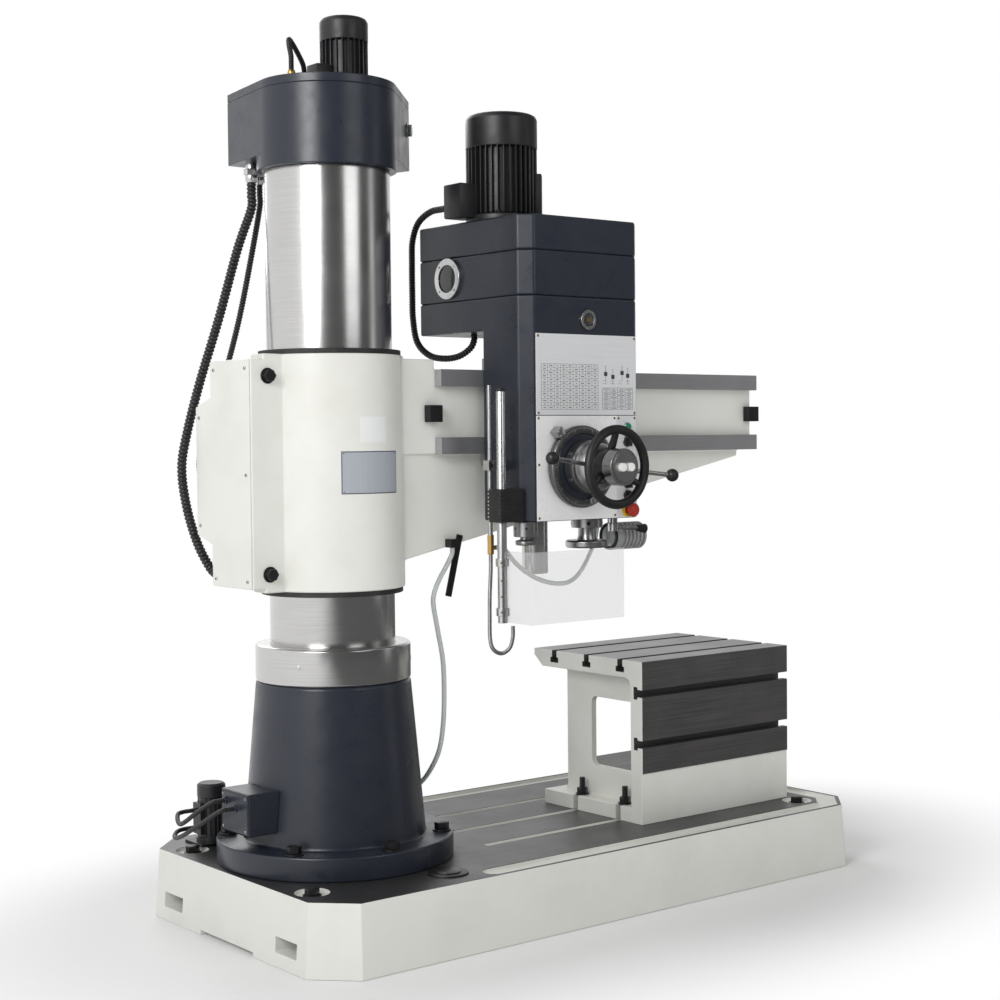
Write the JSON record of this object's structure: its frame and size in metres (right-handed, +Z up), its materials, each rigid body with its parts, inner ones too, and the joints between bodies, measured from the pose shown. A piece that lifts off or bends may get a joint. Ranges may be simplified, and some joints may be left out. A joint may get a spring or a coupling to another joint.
{
  "type": "radial arm drill",
  "caption": "Floor-standing radial arm drill with slotted base, turning column, rising arm, traversing drill head, hand controls, chip guard and slotted box table.",
  "frame": {"origin": "on the floor, under the column's axis", "axes": "+X along the base and the arm at rest, -Y to the operator's side, +Z up"},
  "size_m": [2.121, 1.0925, 2.592],
  "materials": {
    "white_paint": "semi-gloss off-white machine paint",
    "dark_paint": "semi-gloss anthracite machine paint",
    "machined_steel": "turned or ground steel",
    "black_metal": "satin black paint and blackened steel",
    "black_plastic": "black plastic",
    "wiper_rubber": "black felt and rubber",
    "bright_metal": "satin bright metal",
    "brass": "machined brass and bronze",
    "clear_plastic": "clear plastic",
    "green_plastic": "green plastic",
    "white_plastic": "white plastic",
    "red_plastic": "red plastic"
  },
  "bodies": {
    "base": {"base_plate": "white_paint", "column_base": "dark_paint", "base_fittings": "black_metal", "inner_column": "machined_steel", "column_bearings": "machined_steel", "clamp_collar": "machined_steel", "work_table": "white_paint", "coolant_pump": "black_metal", "junction_box": "dark_paint", "pump_conduits": "black_plastic", "coolant_hose_lower": "clear_plastic"},
    "column": {"outer_column": "machined_steel", "cap_housing": "dark_paint", "cap_lid": "dark_paint", "lift_motor": "black_metal", "cap_glands": "brass", "lift_motor_conduit": "black_plastic", "main_conduit": "black_plastic", "cabinet_conduit": "black_plastic"},
    "screw": {"lift_screw": "machined_steel"},
    "arm": {"arm_casting": "white_paint", "sleeve_wipers": "wiper_rubber", "arm_ways": "machined_steel", "arm_fittings": "black_metal", "cabinet_cover": "white_paint", "lift_nut": "brass", "coolant_hose_upper": "clear_plastic"},
    "head": {"head_case": "dark_paint", "head_middle_case": "dark_paint", "head_top_cover": "dark_paint", "head_gibs": "machined_steel", "sight_glasses": "bright_metal", "front_panels": "bright_metal", "main_motor": "black_metal", "motor_conduit": "black_plastic", "feed_core": "machined_steel", "coolant_pipe": "bright_metal", "gooseneck": "bright_metal", "head_hose": "clear_plastic", "guard_block": "black_metal", "work_lamp": "bright_metal"},
    "quill": {"quill": "machined_steel"},
    "spindle": {"spindle": "machined_steel"},
    "feed": {"feed_hub": "machined_steel", "depth_dial": "bright_metal", "feed_levers": "black_plastic"},
    "handwheel": {"handwheel": "black_plastic"},
    "fine_feed": {"fine_feed_wheel": "machined_steel"},
    "depth_knob": {"depth_knob": "machined_steel"},
    "control_lever": {"control_lever": "black_plastic"},
    "selector_upper": {"selector_upper": "black_plastic"},
    "selector_middle": {"selector_middle": "black_plastic"},
    "selector_lower": {"selector_lower": "black_plastic"},
    "start_button": {"start_button": "green_plastic"},
    "clamp_button": {"clamp_button": "white_plastic"},
    "release_button": {"release_button": "white_plastic"},
    "stop_button": {"stop_button": "red_plastic"},
    "guard_post": {"guard_post": "bright_metal"},
    "guard_shield": {"guard_shield": "clear_plastic"}
  },
  "joints": [
    {"name": "arm_swing", "type": "hinge", "parent": "base", "child": "column", "pos_m": [0, 0, 0.7], "axis": [0, 0, 1], "range_deg": [-180, 180], "deforming": ["coolant_hose_lower"]},
    {"name": "arm_lift", "type": "slide", "parent": "column", "child": "arm", "axis": [0, 0, 1], "range_m": [-0.12, 0.48], "deforming": ["main_conduit", "cabinet_conduit", "coolant_hose_upper"]},
    {"name": "lift_screw_turn", "type": "hinge", "parent": "column", "child": "screw", "pos_m": [0.17264, 0.16672, 1.6], "axis": [0, 0, 1], "range_deg": [-10810, 2710]},
    {"name": "head_traverse", "type": "slide", "parent": "arm", "child": "head", "axis": [1, 0, 0], "range_m": [-0.06, 0.64]},
    {"name": "handwheel_turn", "type": "hinge", "parent": "head", "child": "handwheel", "pos_m": [0.592, -0.541, 1.283], "axis": [0, -1, 0], "range_deg": [-2890, 280]},
    {"name": "quill_feed", "type": "slide", "parent": "head", "child": "quill", "axis": [0, 0, 1], "range_m": [-0.315, 0]},
    {"name": "spindle_spin", "type": "hinge", "parent": "quill", "child": "spindle", "pos_m": [0.509, -0.28, 1.3], "axis": [0, 0, 1], "continuous": true},
    {"name": "feed_turn", "type": "hinge", "parent": "head", "child": "feed", "pos_m": [0.592, -0.44, 1.283], "axis": [0, -1, 0], "range_deg": [-5, 935]},
    {"name": "fine_feed_turn", "type": "hinge", "parent": "head", "child": "fine_feed", "pos_m": [0.682, -0.31, 1.09], "axis": [0, 0, 1], "continuous": true},
    {"name": "depth_knob_turn", "type": "hinge", "parent": "head", "child": "depth_knob", "pos_m": [0.432, -0.332, 1.09], "axis": [0, 0, 1], "continuous": true},
    {"name": "control_lever_swing", "type": "hinge", "parent": "head", "child": "control_lever", "pos_m": [0.77, -0.328, 1.1], "axis": [0, 0, 1], "range_deg": [-30, 10]},
    {"name": "selector_upper_turn", "type": "hinge", "parent": "head", "child": "selector_upper", "pos_m": [0.782, -0.376, 1.353], "axis": [0, -1, 0], "range_deg": [-45, 45]},
    {"name": "selector_middle_turn", "type": "hinge", "parent": "head", "child": "selector_middle", "pos_m": [0.782, -0.376, 1.232], "axis": [0, -1, 0], "range_deg": [-45, 45]},
    {"name": "selector_lower_turn", "type": "hinge", "parent": "head", "child": "selector_lower", "pos_m": [0.782, -0.376, 1.196], "axis": [0, -1, 0], "range_deg": [-45, 45]},
    {"name": "start_press", "type": "slide", "parent": "head", "child": "start_button", "axis": [0, 1, 0], "range_m": [0, 0.004], "stiffness_N_per_m": 400},
    {"name": "clamp_press", "type": "slide", "parent": "head", "child": "clamp_button", "axis": [0, 1, 0], "range_m": [0, 0.004], "stiffness_N_per_m": 400},
    {"name": "release_press", "type": "slide", "parent": "head", "child": "release_button", "axis": [0, 1, 0], "range_m": [0, 0.004], "stiffness_N_per_m": 400},
    {"name": "stop_press", "type": "slide", "parent": "head", "child": "stop_button", "axis": [0, 1, 0], "range_m": [0, 0.008]},
    {"name": "guard_height", "type": "slide", "parent": "head", "child": "guard_post", "axis": [0, 0, 1], "range_m": [-0.15, 0.07]},
    {"name": "guard_swing", "type": "hinge", "parent": "guard_post", "child": "guard_shield", "pos_m": [0.343, -0.337, 0.95], "axis": [0, 0, 1], "range_deg": [-120, 0]}
  ],
  "couplings": [
    {"joint": "lift_screw_turn", "follows": "arm_lift", "rad_per_m": -392.7},
    {"joint": "handwheel_turn", "follows": "head_traverse", "rad_per_m": -78.54},
    {"joint": "feed_turn", "follows": "quill_feed", "rad_per_m": -51.5}
  ]
}
